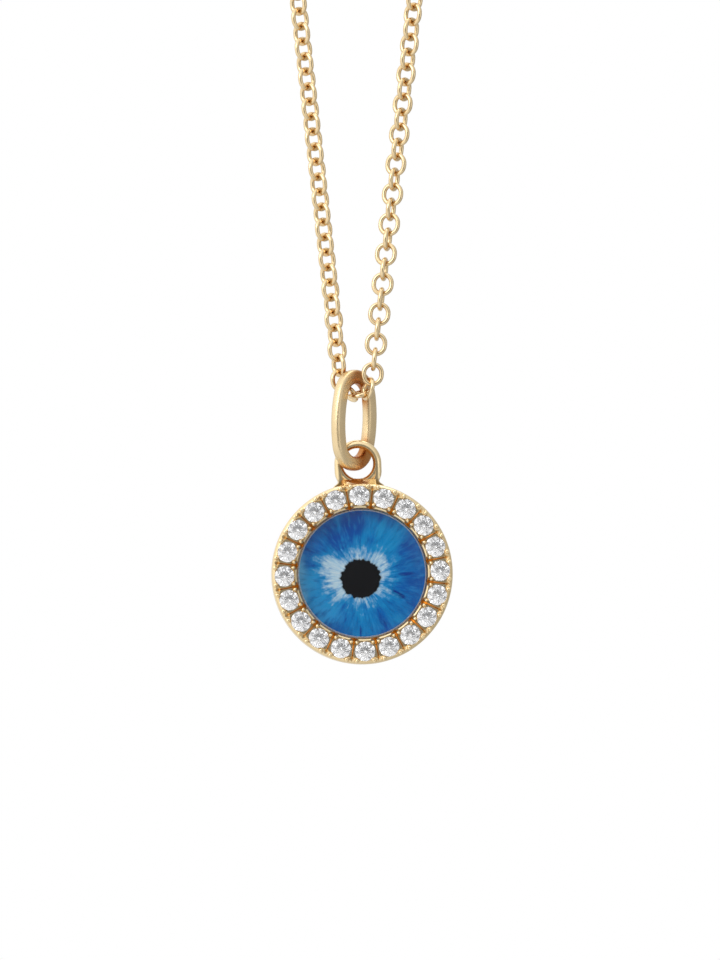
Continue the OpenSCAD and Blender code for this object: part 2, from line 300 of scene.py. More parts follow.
def diamond():
    """Cut diamond: its high index throws light back from the facets as white and grey patches.
    The many glints that are finer than a pixel are a painted highlight: a small share of plain
    white diffuse."""
    material, tree = new_material("brilliant_cut_diamond")
    cloud = add(tree, "ShaderNodeTexNoise", {
        "Vector": object_mm(tree), "Scale": 1 / DIAMOND_TINT_MM, "Detail": 1.0}).outputs["Fac"]
    tint = add(tree, "ShaderNodeMix", {
        0: cloud, 6: colour("#FFFFFF"), 7: colour("#F4F6FB")}, data_type="RGBA").outputs[2]
    cut = add(tree, "ShaderNodeBsdfPrincipled", {
        "Base Color": tint, "Roughness": 0.0, "IOR": DIAMOND_IOR, "Transmission Weight": 1.0})
    # Painted highlight: plain white diffuse that stands in for glints finer than a pixel
    painted_glints = add(tree, "ShaderNodeBsdfDiffuse", {"Color": colour("#FFFFFF")})
    mix = add(tree, "ShaderNodeMixShader", {
        0: PAINTED_GLINT_SHARE, 1: cut.outputs["BSDF"], 2: painted_glints.outputs["BSDF"]})
    finish_material(tree, mix.outputs["Shader"])
    return material


# Painted iris

# The base blue, in broad strokes: place on the ramp and colour
IRIS_BLUES = ((0.3, "#005AB0"), (0.45, "#006EBE"), (0.58, "#0084CA"), (0.72, "#0A9AD6"))
# Patches on the base blue: colour, angle, distance from the pupil's middle, length along the
# radius, width across it, and strength
IRIS_PATCHES = (
    ("#0056B0", 120, 2.1, 1.3, 0.8, 1.1),
    ("#0054AC", 95, 3.0, 1.0, 0.9, 1.0),
    ("#1878CE", 150, 3.0, 0.9, 1.4, 0.9),
    ("#0A6AB8", 8, 2.7, 1.0, 1.0, 0.5),
    ("#2870BA", 22, 3.4, 0.6, 1.8, 0.45),
    ("#2E60B4", -60, 3.4, 0.4, 2.6, 0.6),
    # The pale patch at 184 degrees, at the left edge, is partly the paint's own pale blue and
    # partly painted light that lifts the paint where the halo's wall shades the disc from the key
    # panel
    ("#74C8F0", 184, 3.4, 0.75, 2.8, 1.1),
    ("#0093D2", 52, 2.2, 1.5, 0.8, 1.1),
    ("#14A0D8", 66, 2.9, 0.8, 0.3, 0.8),
    ("#0080C8", -38, 2.5, 1.1, 1.0, 0.9),
    ("#068CD0", -88, 2.6, 1.2, 1.3, 0.9),
    ("#34A2DE", -142, 2.6, 1.3, 1.5, 0.95),
    ("#3CA8E0", 182, 2.7, 0.8, 0.9, 0.9),
    ("#003088", -25, 2.05, 0.8, 0.22, 1.6),
    ("#004098", 4, 2.5, 0.6, 0.14, 1.1),
    ("#0050A4", -92, 2.9, 0.5, 0.08, 1.0),
)
# Sorts of stroke drawn out along the radius: cells to a radian round the pupil, cells to a
# millimetre outwards, detail and seed
IRIS_STROKES = {
    "broad": (3.2, 0.5, 2.0, 3.0),
    "fibre": (8.0, 1.1, 4.0, 11.0),
    "fine": (21.0, 2.0, 5.0, 23.0),
    "jag": (4.5, 0.3, 4.0, 41.0),
}
# Light and dark strokes over the blue: sort, where it starts and is full, strength and colour
OVER_STROKES = (
    ("fibre", 0.52, 0.8, 0.4, "#2A9ADA"),
    ("fibre", 0.48, 0.25, 0.5, "#003A92"),
    ("fine", 0.52, 0.75, 0.45, "#3CA8E0"),
    ("fine", 0.48, 0.28, 0.45, "#003E94"),
)
# Reach of the pale burst round the pupil: angle, half width in degrees, and extra reach
IRIS_LOBES = (
    (170, 34, 0.85),
    (142, 26, 0.6),
    (100, 24, 0.35),
    (79, 6, 0.6),
    (40, 34, 0.6),
    (4, 14, 0.3),
    (-33, 16, 0.35),
    (-95, 24, 0.3),
    (-150, 24, 0.6),
)


def round_the_pupil(tree):
    """The disc in millimetres from the pupil's middle: the place, its distance and direction."""
    at = object_mm(tree, PENDANT @ (PUPIL_AT * MM), lean)
    split = add(tree, "ShaderNodeSeparateXYZ", {0: at})
    flat = add(tree, "ShaderNodeCombineXYZ", {
        0: split.outputs["X"], 1: split.outputs["Z"]}).outputs[0]
    radius = add(tree, "ShaderNodeVectorMath", {0: flat}, operation="LENGTH").outputs["Value"]
    way = add(tree, "ShaderNodeVectorMath", {0: flat}, operation="NORMALIZE").outputs[0]
    return flat, radius, way


def drawn_strokes(tree, radius, way):
    """Noise that is drawn out along the radius, one for each sort of stroke."""
    strokes = {}
    for name, (around, along, detail, seed) in IRIS_STROKES.items():
        turned = add(tree, "ShaderNodeVectorMath", {
            0: way, "Scale": around}, operation="SCALE").outputs[0]
        out = add(tree, "ShaderNodeMath", {
            0: radius, 1: along, 2: seed}, operation="MULTIPLY_ADD").outputs[0]
        lift = add(tree, "ShaderNodeCombineXYZ", {2: out}).outputs[0]
        place = add(tree, "ShaderNodeVectorMath", {0: turned, 1: lift}, operation="ADD").outputs[0]
        strokes[name] = add(tree, "ShaderNodeTexNoise", {
            "Vector": place, "Scale": 1.0, "Detail": detail, "Roughness": 0.55}).outputs["Fac"]
    return strokes


def base_blue(tree, broad):
    ramp = add(tree, "ShaderNodeValToRGB", {"Fac": broad})
    for place, _ in IRIS_BLUES[:-2]:
        ramp.color_ramp.elements.new(place)
    for element, (place, hex_code) in zip(ramp.color_ramp.elements, IRIS_BLUES):
        element.position = place
        element.color = colour(hex_code)
    return ramp.outputs["Color"]


def blue_patches(tree, paint, flat, fibre):
    """Soft patches of other blues, broken up by the strokes."""
    streaked = add(tree, "ShaderNodeMath", {
        0: fibre, 1: 1.5, 2: -0.1}, operation="MULTIPLY_ADD").outputs[0]
    for hex_code, angle, distance, length, width, strength in IRIS_PATCHES:
        turn = math.radians(angle)
        spot = add(tree, "ShaderNodeMapping", {
            "Vector": flat,
            "Location": (distance * math.cos(turn), distance * math.sin(turn), 0),
            "Rotation": (0, 0, turn),
            "Scale": (length, width, 1)}, vector_type="TEXTURE").outputs[0]
        near = add(tree, "ShaderNodeTexGradient", {
            0: spot}, gradient_type="SPHERICAL").outputs["Fac"]
        weight = add(tree, "ShaderNodeMath", {
            0: near, 1: streaked}, operation="MULTIPLY").outputs[0]
        soft = add(tree, "ShaderNodeMapRange", {
            "Value": weight, "From Min": 0.0, "From Max": 0.45, "To Max": strength},
            interpolation_type="SMOOTHSTEP").outputs["Result"]
        paint = add(tree, "ShaderNodeMix", {
            0: soft, 6: paint, 7: colour(hex_code)}, data_type="RGBA").outputs[2]
    return paint


def over_strokes(tree, paint, strokes):
    for sort, start, full, strength, hex_code in OVER_STROKES:
        amount = add(tree, "ShaderNodeMapRange", {
            "Value": strokes[sort], "From Min": start, "From Max": full,
            "To Max": strength}).outputs["Result"]
        paint = add(tree, "ShaderNodeMix", {
            0: amount, 6: paint, 7: colour(hex_code)}, data_type="RGBA").outputs[2]
    return paint


def burst_reach(tree, flat, way, strokes):
    """How far the pale burst reaches from the pupil's middle, in millimetres: long strokes carry
    it, fine ones feather it, a cloud makes it uneven, and it goes further in some directions."""
    reach = add(tree, "ShaderNodeMath", {
        0: strokes["fibre"], 1: 2.0, 2: -0.15}, operation="MULTIPLY_ADD").outputs[0]
    reach = add(tree, "ShaderNodeMath", {
        0: strokes["fine"], 1: 0.6, 2: reach}, operation="MULTIPLY_ADD").outputs[0]
    cloud = add(tree, "ShaderNodeTexNoise", {
        "Vector": flat, "Scale": 1.7, "Detail": 4.0, "Roughness": 0.65}).outputs["Fac"]
    uneven = add(tree, "ShaderNodeMath", {
        0: cloud, 1: 2.0, 2: -0.85}, operation="MULTIPLY_ADD").outputs[0]
    reach = add(tree, "ShaderNodeMath", {0: reach, 1: uneven}, operation="ADD").outputs[0]
    for angle, half_width, extra in IRIS_LOBES:
        turn = math.radians(angle)
        towards = add(tree, "ShaderNodeVectorMath", {
            0: way, 1: (math.cos(turn), math.sin(turn), 0)},
            operation="DOT_PRODUCT").outputs["Value"]
        lobe = add(tree, "ShaderNodeMapRange", {
            "Value": towards, "From Min": math.cos(math.radians(half_width)), "From Max": 1.0,
            "To Max": extra}, interpolation_type="SMOOTHSTEP").outputs["Result"]
        reach = add(tree, "ShaderNodeMath", {0: reach, 1: lobe}, operation="ADD").outputs[0]
    return reach


def coats_inside(tree, paint, reach, radius, coats):
    """Coats out to a reach from the middle: where each starts and is full, strength and tint."""
    inside = add(tree, "ShaderNodeMath", {0: reach, 1: radius}, operation="SUBTRACT").outputs[0]
    for start, full, strength, tint in coats:
        amount = add(tree, "ShaderNodeMapRange", {
            "Value": inside, "From Min": start, "From Max": full, "To Max": strength},
            interpolation_type="SMOOTHSTEP").outputs["Result"]
        paint = add(tree, "ShaderNodeMix", {
            0: amount, 6: paint, 7: tint}, data_type="RGBA").outputs[2]
    return paint


def painted_iris():
    """Painted enamel under the crystal: soft radial strokes of blue about 0.1 mm wide, a pale
    burst, and a near-black pupil with a ragged edge and a thin dark shade round it."""
    material, tree = new_material("painted_iris_enamel")
    flat, radius, way = round_the_pupil(tree)
    strokes = drawn_strokes(tree, radius, way)
    paint = base_blue(tree, strokes["broad"])
    paint = blue_patches(tree, paint, flat, strokes["fibre"])
    paint = over_strokes(tree, paint, strokes)
    pale = add(tree, "ShaderNodeMix", {
        0: strokes["fine"], 6: colour("#70C0E4"), 7: colour("#FFFFF8")},
        data_type="RGBA").outputs[2]
    paint = coats_inside(
        tree, paint, burst_reach(tree, flat, way, strokes), radius,
        ((-0.8, 0.1, 0.75, colour("#1C9CD6")), (-0.2, 0.8, 1.0, pale)))
    # The pupil's ragged edge is 0.8 mm from its middle, and up to 0.5 mm more
    ragged = add(tree, "ShaderNodeMath", {
        0: strokes["jag"], 1: 0.5, 2: 0.8}, operation="MULTIPLY_ADD").outputs[0]
    paint = coats_inside(
        tree, paint, ragged, radius,
        ((-0.12, 0.02, 0.5, colour("#2F587C")), (-0.03, 0.03, 1.0, colour("#06070C"))))
    shader = add(tree, "ShaderNodeBsdfPrincipled", {
        "Base Color": paint, "Roughness": 0.6, "Specular IOR Level": 0.0})
    finish_material(tree, shader.outputs["BSDF"])
    return material


# Meshes

def make_piece(name, bm, place, material, body, smooth_angle=35.0):
    """Turns a bmesh in millimetres into a finished piece that rides on a body."""
    bmesh.ops.transform(bm, matrix=place @ METRES, verts=bm.verts)
    mesh = bpy.data.meshes.new(name)
    bm.to_mesh(mesh)
    bm.free()
    mesh.shade_smooth()
    mesh.set_sharp_from_angle(angle=math.radians(smooth_angle))
    piece = bpy.data.objects.new(name, mesh)
    bpy.context.scene.collection.objects.link(piece)
    mesh.materials.append(material)
    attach(piece, body)
    return piece


def close_up(bm, gap=1e-4):
    bmesh.ops.remove_doubles(bm, verts=bm.verts, dist=gap)
    bmesh.ops.recalc_face_normals(bm, faces=bm.faces)


def lathe(bm, outline, steps):
    """Turns an outline of (radius, y) points about the Y axis."""
    verts = [bm.verts.new((radius, y, 0)) for radius, y in outline]
    edges = [bm.edges.new(pair) for pair in zip(verts, verts[1:])]
    bmesh.ops.spin(
        bm, geom=verts + edges, cent=(0, 0, 0), axis=(0, 1, 0),
        angle=2 * math.pi, steps=steps, use_merge=True)


def own_mesh(name, bm):
    """A closed shape as a mesh, so that it can be copied to its places."""
    close_up(bm)
    mesh = bpy.data.meshes.new(name)
    bm.to_mesh(mesh)
    bm.free()
    return mesh


def copies(placed):
    """One bmesh that holds a copy of each mesh at its place."""
    bm = bmesh.new()
    for mesh, place in placed:
        known = len(bm.verts)
        bm.from_mesh(mesh)
        bm.verts.ensure_lookup_table()
        bmesh.ops.transform(bm, matrix=place, verts=bm.verts[known:])
    return bm


def combine(base, tool, operation):
    """Cuts a closed shape out of another or joins it on, and gives the new shape."""
    parts = []
    for name, bm in (("base", base), ("tool", tool)):
        mesh = bpy.data.meshes.new(name)
        bm.to_mesh(mesh)
        bm.free()
        part = bpy.data.objects.new(name, mesh)
        bpy.context.scene.collection.objects.link(part)
        parts.append(part)
    step = parts[0].modifiers.new("step", "BOOLEAN")
    step.object = parts[1]
    step.operation = operation
    step.solver = "MANIFOLD"
    depsgraph = bpy.context.evaluated_depsgraph_get()
    made = bpy.data.meshes.new_from_object(parts[0].evaluated_get(depsgraph))
    bm = bmesh.new()
    bm.from_mesh(made)
    for part in parts:
        mesh = part.data
        bpy.data.objects.remove(part)
        bpy.data.meshes.remove(mesh)
    bpy.data.meshes.remove(made)
    return bm


# Eye

def dome_piece(material, edge_material):
    """The crystal: a flat-backed cylinder with a low dome and a ground bevel at its rim."""
    ball = (EYE_R ** 2 + DOME_RISE ** 2) / (2 * DOME_RISE)
    ball_y = EDGE_Y - DOME_RISE + ball
    bevel_r = EYE_R - DOME_BEVEL
    bevel_y = EDGE_Y + DOME_BEVEL
    outline = [
        (0, CRYSTAL_BACK_Y), (EYE_R - CRYSTAL_CHAMFER, CRYSTAL_BACK_Y),
        (EYE_R, CRYSTAL_BACK_Y - CRYSTAL_CHAMFER), (EYE_R, bevel_y)]
    for k in range(DOME_STEPS + 1):
        radius = bevel_r * (1 - k / DOME_STEPS)
        outline.append((radius, ball_y - math.sqrt(ball ** 2 - radius ** 2)))
    bm = bmesh.new()
    lathe(bm, outline, EYE_STEPS)
    close_up(bm)
    piece = make_piece("crystal_dome", bm, PENDANT, material, "pendant",
                       smooth_angle=20)
    piece.data.materials.append(edge_material)
    away = PENDANT.inverted()
    for face in piece.data.polygons:
        middle = away @ face.center / MM
        if math.hypot(middle.x, middle.z) > bevel_r and middle.y < bevel_y:
            face.material_index = 1
    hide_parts("crystal")


def iris_piece(material):
    """The painted disc, its face bonded into the crystal's back so that no air dulls it."""
    face_y = CRYSTAL_BACK_Y - IRIS_BOND
    bm = bmesh.new()
    lathe(bm, [(0, face_y + IRIS_T), (IRIS_R, face_y + IRIS_T), (IRIS_R, face_y), (0, face_y)],
          EYE_STEPS)
    close_up(bm)
    piece = make_piece("painted_iris", bm, PENDANT, material, "pendant")
    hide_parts("iris")


# Setting

def round_the_eye(angle, radius, y):
    """A place on the halo: an angle clockwise from the top, a radius and a depth."""
    return Matrix.Rotation(angle, 4, "Y") @ Matrix.Translation((0, y, radius))


def between_the_stones(cut, radius, y):
    """A copy of a cut between each two stones, with its top towards the front."""
    return copies([(cut, round_the_eye((k + 0.5) * STONE_STEP, radius, y) @ TO_FRONT)
                   for k in range(STONES)])


def halo_body():
    """The ring and its back plate, turned from one outline of (radius, y) points."""
    back = [(0, BACK_Y), (HALO_R - 0.25, BACK_Y), (HALO_R - 0.12, BACK_Y - 0.04),
            (HALO_R - 0.03, BACK_Y - 0.13), (HALO_R, BACK_Y - 0.26)]
    crowned_rim = [(HALO_R, FACE_Y + 0.3), (HALO_R - 0.025, FACE_Y + 0.17),
                   (HALO_R - 0.08, FACE_Y + 0.08), (HALO_R - 0.15, FACE_Y + 0.025),
                   (HALO_R - 0.2, FACE_Y), (HALO_R - 0.25, FACE_Y)]
    field = [(HALO_R - 0.33, FIELD_Y), (CUP_R + 0.26, FIELD_Y)]
    inner_lip = [(CUP_R + 0.19, FACE_Y), (CUP_R + 0.13, FACE_Y), (CUP_R + 0.06, FACE_Y + 0.05),
                 (CUP_R, FACE_Y + 0.24)]
    cup = [(CUP_R, CUP_Y), (0, CUP_Y)]
    bm = bmesh.new()
    lathe(bm, back + crowned_rim + field + inner_lip + cup, HALO_STEPS)
    close_up(bm)
    return bm


def seat_cuts():
    """Drilled seats, a little wider than the stones: a cone under the stone, a wall round it, a
    lip pushed over its edge, and a shallow countersink at the face."""
    cone = [(0, FACE_Y + 0.66), (SEAT_R, FACE_Y + 0.1)]
    wall = [(SEAT_R, FACE_Y + 0.075)]
    lip = [(SEAT_LIP_R, FACE_Y + 0.05), (SEAT_LIP_R, FACE_Y + 0.03)]
    countersink = [(SEAT_SINK_R, FACE_Y - 0.02), (SEAT_SINK_R, FACE_Y - 0.4), (0, FACE_Y - 0.4)]
    bm = bmesh.new()
    lathe(bm, cone + wall + lip + countersink, SEAT_STEPS)
    seat = own_mesh("seat", bm)
    return copies([(seat, round_the_eye(k * STONE_STEP, RING_R, 0)) for k in range(STONES)])


# A graver's cuts beside the outer rim and the inner lip: distance from the eye's middle, half
# width and half length where the cut meets the field, and depth below it
OUTER_CUT = (HALO_R - 0.29, 0.19, 0.21, 0.11)
INNER_CUT = (CUP_R + 0.1, 0.24, 0.36, 0.24)
GRAVER_TIP = 0.001
CUT_MIDDLE_Y = FIELD_Y - 0.02
# The thin groove that parts each stone's metal from the next: across, along and deep, measured
# on a square bar that lies on its edge
GROOVE = (0.05, 1.0, 0.08)
GROOVE_AT = RING_R - 0.1


def graver_cuts(radius, across, along, depth):
    """Four-sided cuts between the stones, widest at the face. Each is a cone on its tip, half of
    it above the metal, so its radius is about 1 where it meets the field."""
    bm = bmesh.new()
    bmesh.ops.create_cone(
        bm, cap_ends=True, segments=4, radius1=GRAVER_TIP, radius2=2, depth=2 * depth)
    bmesh.ops.scale(bm, vec=(across, along, 1), verts=bm.verts)
    bmesh.ops.remove_doubles(bm, verts=bm.verts, dist=4 * GRAVER_TIP)
    return between_the_stones(own_mesh("graver_cut", bm), radius, CUT_MIDDLE_Y)


def grooves():
    bm = bmesh.new()
    bmesh.ops.create_cube(bm, size=1)
    bmesh.ops.rotate(bm, matrix=Matrix.Rotation(math.radians(45), 3, "Y"), verts=bm.verts)
    bmesh.ops.scale(bm, vec=GROOVE, verts=bm.verts)
    return between_the_stones(own_mesh("groove", bm), GROOVE_AT, FIELD_Y)


# Beads raised over a stone's edge, from its middle: angle from the outward radius, distance,
# half width, half height, half length, and depth of the bead's middle behind the face
BEADS = (
    (43, 0.69, 0.115, 0.11, 0.15, 0.02),
    (-43, 0.69, 0.115, 0.11, 0.15, 0.02),
    (138, 0.66, 0.10, 0.14, 0.135, 0.01),
    (-138, 0.66, 0.10, 0.14, 0.135, 0.01),
)


def beads():
    placed = []
    for angle, distance, half_w, half_h, half_l, depth in BEADS:
        bm = bmesh.new()
        bmesh.ops.create_icosphere(bm, subdivisions=3, radius=1)
        bmesh.ops.scale(bm, vec=(half_w, half_h, half_l), verts=bm.verts)
        bead = own_mesh("bead", bm)
        turn = Matrix.Rotation(math.radians(angle), 4, "Y")
        away = Matrix.Translation((0, 0, distance))
        for k in range(STONES):
            stone = round_the_eye(k * STONE_STEP, RING_R, FACE_Y + depth)
            placed.append((bead, stone @ turn @ away))
    return copies(placed)


def loop_outline():
    """The loop's section from its bore outwards: a steep side, a ridge and a broad soft band."""
    front = [(HOLE_R, -0.05), (HOLE_R + 0.04, -0.15), (HOLE_R + 0.13, -LOOP_T / 2 + 0.01),
             (HOLE_R + 0.17, -LOOP_T / 2), (HOLE_R + 0.3, -LOOP_T / 2 + 0.03),
             (HOLE_R + 0.4, -0.18), (HOLE_R + 0.45, -0.09), (HOLE_R + LOOP_WIRE, 0)]
    return front + [(radius, -y) for radius, y in reversed(front[:-1])]


def loop_ring():
    bm = bmesh.new()
    outline = loop_outline()
    lathe(bm, outline + outline[:1], LOOP_STEPS)
    bmesh.ops.translate(bm, vec=(0, 0, LOOP_Z), verts=bm.verts)
    close_up(bm)
    return bm


# How fast a leg's rounded front fills out to a flat one, step by step
LEG_FILL = 1.1
# A leg of the loop, from its widest point down into the halo: step inwards, step down, swelling
LEG_STEPS = (
    (0.0, 0.5, 1.0), (0.03, 0.2, 1.0), (0.06, 0.15, 1.0), (0.07, 0.14, 1.03), (-0.05, 0.12, 1.08),
    (-0.12, 0.1, 1.12), (-0.1, 0.2, 1.1))


def loop_leg(side):
    bm = bmesh.new()
    corners = [bm.verts.new((side * radius, y, LOOP_Z)) for radius, y in loop_outline()]
    end = bm.faces.new(corners)
    inner = []
    for inwards, down, swell in LEG_STEPS:
        grown = bmesh.ops.extrude_face_region(bm, geom=[end])["geom"]
        inner.append(end)
        end = next(item for item in grown if isinstance(item, bmesh.types.BMFace))
        middle = end.calc_center_median()
        bmesh.ops.scale(
            bm, vec=(swell, swell, 1), space=Matrix.Translation(-middle), verts=end.verts)
        bmesh.ops.translate(bm, vec=(-side * inwards, 0, -down), verts=end.verts)
        for corner in end.verts:
            filled = min(abs(corner.co.y) * LEG_FILL, LOOP_T / 2)
            corner.co.y = math.copysign(filled, corner.co.y)
    bmesh.ops.delete(bm, geom=inner[1:], context="FACES_ONLY")
    close_up(bm)
    return bm


# The solder between the loop and the halo: a block, and the slope that is filed on it
WEB_SIZE = (1.9, 0.92, 0.55)
WEB_AT = (0, -0.34, HALO_R - 0.02)
WEB_SLOPE_AT = (0, -0.22, HALO_R + 0.24)
WEB_SLOPE_WAY = (0, -0.75, 0.9)


def loop_web():
    """The solder, which runs down over the rim to the face."""
    bm = bmesh.new()
    bmesh.ops.create_cube(bm, size=1)
    bmesh.ops.scale(bm, vec=WEB_SIZE, verts=bm.verts)
    bmesh.ops.translate(bm, vec=WEB_AT, verts=bm.verts)
    slope = bmesh.ops.bisect_plane(
        bm, geom=bm.verts[:] + bm.edges[:] + bm.faces[:], plane_co=WEB_SLOPE_AT,
        plane_no=WEB_SLOPE_WAY, clear_outer=True)["geom_cut"]
    rim = [item for item in slope if isinstance(item, bmesh.types.BMEdge)]
    bmesh.ops.holes_fill(bm, edges=rim, sides=0)
    close_up(bm)
    return bm


def setting_piece(material):
    """The setting, worked as a setter does: turned, the loop soldered on, then cut, beaded and
    drilled."""
    bm = halo_body()
    for tool, operation in (
            (loop_leg(-1), "UNION"), (loop_leg(1), "UNION"), (loop_web(), "UNION"),
            (loop_ring(), "UNION"), (grooves(), "DIFFERENCE"),
            (graver_cuts(*OUTER_CUT), "DIFFERENCE"), (graver_cuts(*INNER_CUT), "DIFFERENCE"),
            (beads(), "UNION"), (seat_cuts(), "DIFFERENCE")):
        bm = combine(bm, tool, operation)
    piece = make_piece(
        "halo_setting", bm, PENDANT, material, "pendant", smooth_angle=32)
    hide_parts("setting")


# Bail

def wire_section(bm, place):
    """The bail wire's outline, a rectangle with round corners, and its edges."""
    bmesh.ops.create_grid(bm, x_segments=1, y_segments=1, size=0.5)
    bmesh.ops.scale(bm, vec=(BAIL_T, BAIL_W, 1), verts=bm.verts)
    bmesh.ops.bevel(
        bm, geom=bm.verts[:], offset=BAIL_EDGE, segments=4, profile=0.5,
        affect="VERTICES", material=-1)
    bmesh.ops.delete(bm, geom=bm.faces[:], context="FACES_ONLY")
    bmesh.ops.transform(bm, matrix=place, verts=bm.verts)
    return bm.verts[:] + bm.edges[:]


def bail_piece(material):
    """The oval bail: one rounded rectangular wire bent through four arcs."""
    end_r = (((BAIL_SIDE_R - BAIL_HW) ** 2 + BAIL_HH ** 2 - BAIL_SIDE_R ** 2)
             / (2 * (BAIL_HH - BAIL_SIDE_R)))
    end_z = BAIL_HH - end_r
    side_x = BAIL_HW - BAIL_SIDE_R
    arc = math.atan2(end_z, -side_x)
    start = (Matrix.Translation((side_x, 0, 0)) @ Matrix.Rotation(arc, 4, "Y")
             @ Matrix.Translation((BAIL_SIDE_R, 0, 0)))
    bm = bmesh.new()
    current = wire_section(bm, start)
    for centre, angle, steps in (
            ((side_x, 0, 0), 2 * arc, BAIL_SIDE_STEPS),
            ((0, 0, end_z), math.pi - 2 * arc, BAIL_END_STEPS),
            ((-side_x, 0, 0), 2 * arc, BAIL_SIDE_STEPS),
            ((0, 0, -end_z), math.pi - 2 * arc, BAIL_END_STEPS)):
        current = bmesh.ops.spin(
            bm, geom=current, cent=centre, axis=(0, -1, 0), angle=angle, steps=steps)["geom_last"]
    close_up(bm, gap=1e-3)
    piece = make_piece("oval_bail", bm, BAIL, material, "bail", smooth_angle=50)
    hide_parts("bail")


# Chain

def link_mesh(steps, sides):
    """A slightly long link in the XZ plane: a wire bent through two half turns."""
    middle = (LINK_W - LINK_WIRE) / 2
    straight = LINK_L - LINK_W
    bm = bmesh.new()
    bmesh.ops.create_circle(
        bm, segments=sides, radius=LINK_WIRE / 2,
        matrix=Matrix.Translation((middle, 0, straight / 2)))
    current = bm.verts[:] + bm.edges[:]
    for end in (1, -1):
        current = bmesh.ops.spin(
            bm, geom=current, cent=(0, 0, end * straight / 2), axis=(0, -1, 0), angle=math.pi,
            steps=steps)["geom_last"]
        current = bmesh.ops.spin(
            bm, geom=current, axis=(0, -1, 0), dvec=(0, 0, -end * straight), angle=0,
            steps=1)["geom_last"]
    return own_mesh("link", bm)


def strand_at(side, s):
    """A point of the chain's path, s above the lowest upright link: the strand, then the arc."""
    if s > STRAND_LEN:
        angle = -STRAND_LEAN + (s - STRAND_LEN) / NAPE_R
        return Vector((side * NAPE_R * math.cos(angle), 0, NAPE_Z + NAPE_R * math.sin(angle)))
    depth, lift = RIGHT_LOW if side > 0 else LEFT_LOW
    t = min(s / (DEPTH_LINKS * LINK_PITCH), 1)
    ease = (1 - t) ** 2 * (1 + 2 * t)
    up = s + lift * (1 - s / STRAND_LEN)
    return Vector((
        side * (STRAND_GAP + up * math.sin(STRAND_LEAN)), depth * ease,
        STRAND_Z + up * math.cos(STRAND_LEAN)))


def strand_way(side, s, reach=0.1):
    """The path's direction there, from a little below to a little above."""
    return strand_at(side, s + reach) - strand_at(side, max(s - reach, 0))


def link_place(at, along, turn):
    lean_y = math.atan2(along[0], along[2])
    lean_x = -math.asin(along[1] / Vector(along).length)
    return (Matrix.Translation(at) @ Matrix.Rotation(lean_y, 4, "Y")
            @ Matrix.Rotation(lean_x, 4, "X") @ Matrix.Rotation(math.radians(turn), 4, "Z"))


def chain_piece(material):
    """The whole chain of interlocked links, plainer where the photograph doesn't reach."""
    front = link_mesh(*FRONT_FINENESS)
    back = link_mesh(*BACK_FINENESS)
    clasp_turn = math.asin(CLASP_EYE_AT / NAPE_R)
    last = STRAND_LEN + NAPE_R * (NAPE_ARC - clasp_turn) - CLASP_EYE_ROOM
    count = round(last / LINK_PITCH)
    pitch = last / count
    foot = Vector((0, 0, STRAND_Z))
    placed = [(front, link_place(Vector(at) + foot, along, turn)) for at, along, turn in LOW_LINKS]
    for side, (first, final) in ((1, RIGHT_TURNS), (-1, LEFT_TURNS)):
        way = math.copysign(1, final - first)
        for i in range(count + 1):
            s = i * pitch
            turn = first + way * min(i * TURN_STEP, abs(final - first)) + 90 * (i % 2)
            shape = front if i < FRONT_LINKS else back
            placed.append((shape, link_place(strand_at(side, s), strand_way(side, s), turn)))
    piece = make_piece(
        "cable_chain", copies(placed), CHAIN_SHIFT, material, "chain",
        smooth_angle=60)
    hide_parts("chain_front", "chain_back")


# Stage, light and camera

FLOOR_SIZE = 2.4
FLOOR_Z = -0.26
# The light tent's brightness by direction: axis, where a change starts and ends, and its levels
# there. It is darker round the camera, to the right, below and behind.
TENT_LEVELS = (
    ("front", 0.84, 0.98, 1.0, 0.26, "SMOOTHSTEP"),
    ("up", -0.9, 0.5, 0.8, 1.15, "LINEAR"),
    ("front", -0.6, 0.4, 0.82, 1.03, "LINEAR"),
    ("right", -0.2, 0.9, 1.15, 0.55, "LINEAR"),
)
# Soft square panels that face the eye: name, place from the eye in metres, side and watts
PANELS = (
    ("key_panel", (-0.45, -0.5, 0.35), 0.4, 1.1),
    ("fill_panel", (0.5, -0.45, 0.0), 0.3, 0.15),
    ("top_panel", (0.05, 0.15, 0.6), 0.4, 0.7),
)


def paper_floor():
    """Matt white paper below the necklace: it scatters light evenly and shows no gloss."""
    bpy.ops.mesh.primitive_plane_add(size=FLOOR_SIZE, location=(0, 0, FLOOR_Z))
    floor = bpy.context.object
    floor.name = "floor"
    material, tree = new_material("matt_white_paper")
    shader = add(tree, "ShaderNodeBsdfPrincipled", {
        "Base Color": colour("#F4F3F1"), "Roughness": 0.9})
    finish_material(tree, shader.outputs["BSDF"])
    floor.data.materials.append(material)
    floor.visible_glossy = False


